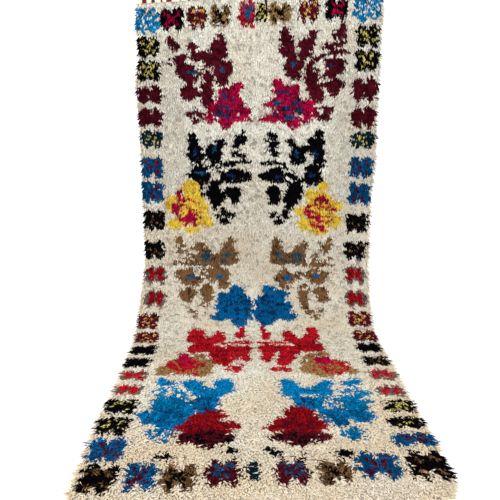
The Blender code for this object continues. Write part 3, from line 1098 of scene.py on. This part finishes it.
def wool(yarn):
    """Spun wool: each lock a little lighter or darker, with painted shade at its root and, in the painted
    creases, at its tip, and with fine strands.
    """
    name = yarn.name + "_pile"
    if name in bpy.data.materials:
        return bpy.data.materials[name]
    material, tree, shader = new_material(name)
    lock = tree.nodes.new("ShaderNodeVertexColor")
    lock.layer_name = "lock"
    parts = tree.nodes.new("ShaderNodeSeparateColor")
    link(tree, lock, "Color", parts, "Color")
    darkest, lightest = PALE_RANGE if yarn.name in PALE else DEEP_RANGE
    light = tuple(np.clip(linear(yarn.colour) * lightest, 0, LIGHTEST)) + (1.0,)
    dark = tuple(linear(yarn.colour) * darkest) + (1.0,)
    toned = mixed(tree, parts.outputs["Red"], dark, light)
    if yarn.name == "ivory":
        toned = mixed(tree, parts.outputs["Blue"], toned, tuple(linear(WARM_IVORY)) + (1.0,))
    # Painted shade: each lock darker toward its root, and at its tip where a painted crease lies
    root = maths(tree, "MULTIPLY_ADD", parts.outputs["Green"], 1 - ROOT_SHADE, ROOT_SHADE)
    shade = tree.nodes.new("ShaderNodeCombineColor")
    for channel in ("Red", "Green", "Blue"):
        tree.links.new(root, shade.inputs[channel])
    tree.links.new(mixed(tree, 1.0, toned, shade.outputs["Color"], "MULTIPLY"), shader.inputs["Base Color"])
    strands = tree.nodes.new("ShaderNodeTexNoise")
    strands.inputs["Scale"].default_value = 900.0
    strands.inputs["Detail"].default_value = 2.0
    set_wool(tree, shader, strands.outputs["Fac"], strength=0.35, distance=0.0006)
    return material


def build_pile():
    """The whole pile: the ivory ground in bands, and a piece for each other yarn."""
    chance = np.random.default_rng(SEED + 2)
    share, row, across, down, yarn = knots()
    points = lock_points(share, row, across, down, chance)
    tone = lock_tones(share, row, across, down, chance)
    pieces = []
    for index, each in enumerate(YARNS):
        chosen = np.flatnonzero(yarn == index)
        bands = math.ceil(len(chosen) / MOST_LOCKS)
        for number, band in enumerate(np.array_split(chosen, max(bands, 1))):
            if len(band):
                name = f"pile_{each.name}_{number}" if bands > 1 else f"pile_{each.name}"
                pieces.append(add_locks(name, each, points[band], tone[band]))
    return pieces


def closed_slab(name, shares, rows, back, front):
    """A closed sheet between two grids of points, the back one and the front one."""
    wide = len(shares)
    tall = len(rows)
    i, j = np.meshgrid(np.arange(wide - 1), np.arange(tall - 1))
    a = (j * wide + i).ravel()
    total = wide * tall
    under = np.stack((a, a + 1, a + 1 + wide, a + wide), axis=-1)
    over = np.stack((a, a + wide, a + 1 + wide, a + 1), axis=-1) + total
    ring = np.concatenate((
        np.arange(wide - 1),
        np.arange(tall - 1) * wide + wide - 1,
        (tall - 1) * wide + np.arange(wide - 1, 0, -1),
        np.arange(tall - 1, 0, -1) * wide,
    ))
    after = np.roll(ring, -1)
    rim = np.stack((ring, ring + total, after + total, after), axis=-1)
    faces = np.concatenate((under, over, rim))
    piece = add_mesh(name, np.concatenate((back, front)), faces)
    flat = np.stack(np.meshgrid(np.asarray(shares) * PILE_WIDTH, rows), axis=-1).reshape(-1, 2)
    add_map(piece.data, "flat", np.concatenate((flat, flat))[faces.ravel()])
    piece.data.materials.append(woven(name))
    return piece


def grid(columns, rows):
    """The shares of the width between columns, and the share and the row of every point of a grid."""
    shares = np.linspace(0.0, 1.0, columns + 1)
    share, row = [places.ravel() for places in np.meshgrid(shares, rows)]
    return shares, share, row


def build_back():
    """The knots' woven back, with the bed that the feet of the locks make on it, as one closed sheet."""
    rows = np.linspace(0.0, PILE_LENGTH, BACK_ROWS + 1)
    shares, share, row = grid(BACK_COLUMNS, rows)
    across, down = on_cloth(share, row)
    inside = np.minimum(np.minimum(share, 1 - share) * PILE_WIDTH, np.minimum(row, PILE_LENGTH - row))
    bed = BACK_HEIGHT + (BED_HEIGHT - BACK_HEIGHT) * ease(inside / EDGE_INSET)
    bed = bed * (1 + wander(across, down, *BED_NOISES))
    back = drape(across, down, np.full(across.shape, UNDERSIDE))
    piece = closed_slab("woven_back", shares, rows, back, drape(across, down, bed))
    palette = np.array([linear(yarn.colour) for yarn in YARNS])
    colours = palette[paint(across, shown_at(row), shown_at(down))]
    # The back is darker than its knots' colours, by an amount that varies over it
    back_darkening = BACK_SHADE * (1 + wander(across, down, *BACK_SHADE_NOISES))
    # The bed takes its knots' colours darkened as painted shade among the locks' feet
    add_colours(piece.data, "knot", np.concatenate((colours * back_darkening[:, None], colours * BED_SHADE)))
    return piece


def build_heading():
    """The narrow flat-woven band above the pile, in ivory with dark bars."""
    rows = np.linspace(-HEADING_HEIGHT, HEADING_OVERLAP, HEADING_ROWS)
    shares, share, row = grid(HEADING_COLUMNS, rows)
    across, down = on_cloth(share, row)
    ribs = RIB_HEIGHT * np.cos(row / RIB_SPACING * 2 * math.pi)
    back = drape(across, down, UNDERSIDE + ribs * RIBS_BEHIND)
    piece = closed_slab("heading", shares, rows, back, drape(across, down, HEADING_THICKNESS + ribs))
    bar = wander(across, np.zeros(len(across)), BARS)[:, None]
    colours = np.where(bar > MAROON_BARS_FROM, linear(HEADING_MAROON), linear(HEADING_IVORY))
    colours = np.where(bar < DARK_BARS_TO, linear(HEADING_DARK), colours)
    add_colours(piece.data, "knot", np.concatenate((colours, colours)))
    return piece


def woven(name):
    """Knots from behind: each one a small ridge of its own yarn."""
    material, tree, shader = new_material(name)
    knot = tree.nodes.new("ShaderNodeVertexColor")
    knot.layer_name = "knot"
    link(tree, knot, "Color", shader, "Base Color")
    place = tree.nodes.new("ShaderNodeUVMap")
    place.uv_map = "flat"
    parts = tree.nodes.new("ShaderNodeSeparateXYZ")
    link(tree, place, "UV", parts, "Vector")
    ridges = []
    for axis, spacing in (("X", WEAVE_ACROSS / 2), ("Y", WEAVE_DOWN)):
        wave = maths(tree, "SINE", maths(tree, "MULTIPLY", parts.outputs[axis], math.pi / spacing))
        ridges.append(maths(tree, "ABSOLUTE", wave))
    set_wool(tree, shader, maths(tree, "MULTIPLY", *ridges), strength=0.8, distance=0.0012)
    return material


def plain(name, colour, roughness):
    """A material of one colour."""
    material, _, shader = new_material(name)
    shader.inputs["Base Color"].default_value = tuple(linear(colour)) + (1.0,)
    shader.inputs["Roughness"].default_value = roughness
    return material


def add_stage():
    """A pale floor under an evenly white sky, and a large soft light."""
    bpy.ops.mesh.primitive_plane_add(size=40, location=(0, 0, -0.0005))
    floor = bpy.context.object
    floor.name = "floor"
    floor.data.materials.append(plain("pale_floor", "FCFCFB", 0.9))
    world = bpy.data.worlds.new("studio")
    world.use_nodes = True
    world.node_tree.nodes["Background"].inputs["Color"].default_value = (1.0, 1.0, 1.0, 1.0)
    world.node_tree.nodes["Background"].inputs["Strength"].default_value = 1.32
    bpy.context.scene.world = world
    lamp = bpy.data.lights.new("soft_light", "AREA")
    lamp.shape = "DISK"
    lamp.size = 2.5
    lamp.energy = 165.0
    light = bpy.data.objects.new("soft_light", lamp)
    light.location = (-1.0, -4.2, 2.6)
    light.rotation_euler = (math.radians(68), 0, math.radians(-13))
    bpy.context.scene.collection.objects.link(light)


def add_camera():
    """The camera that the photo's perspective gives."""
    lens = bpy.data.cameras.new("camera")
    lens.sensor_width = 36.0
    lens.lens = 36.0 * FOCAL_PIXELS / FRAME_PIXELS
    camera = bpy.data.objects.new("camera", lens)
    camera.location = CAMERA_PLACE
    camera.rotation_euler = (math.pi / 2 - CAMERA_PITCH, 0, 0)
    bpy.context.scene.collection.objects.link(camera)
    bpy.context.scene.camera = camera


add_camera()
add_stage()
bpy.context.scene.view_settings.view_transform = "Standard"
back = build_back()
heading = build_heading()
pile = build_pile()
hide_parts("rug")
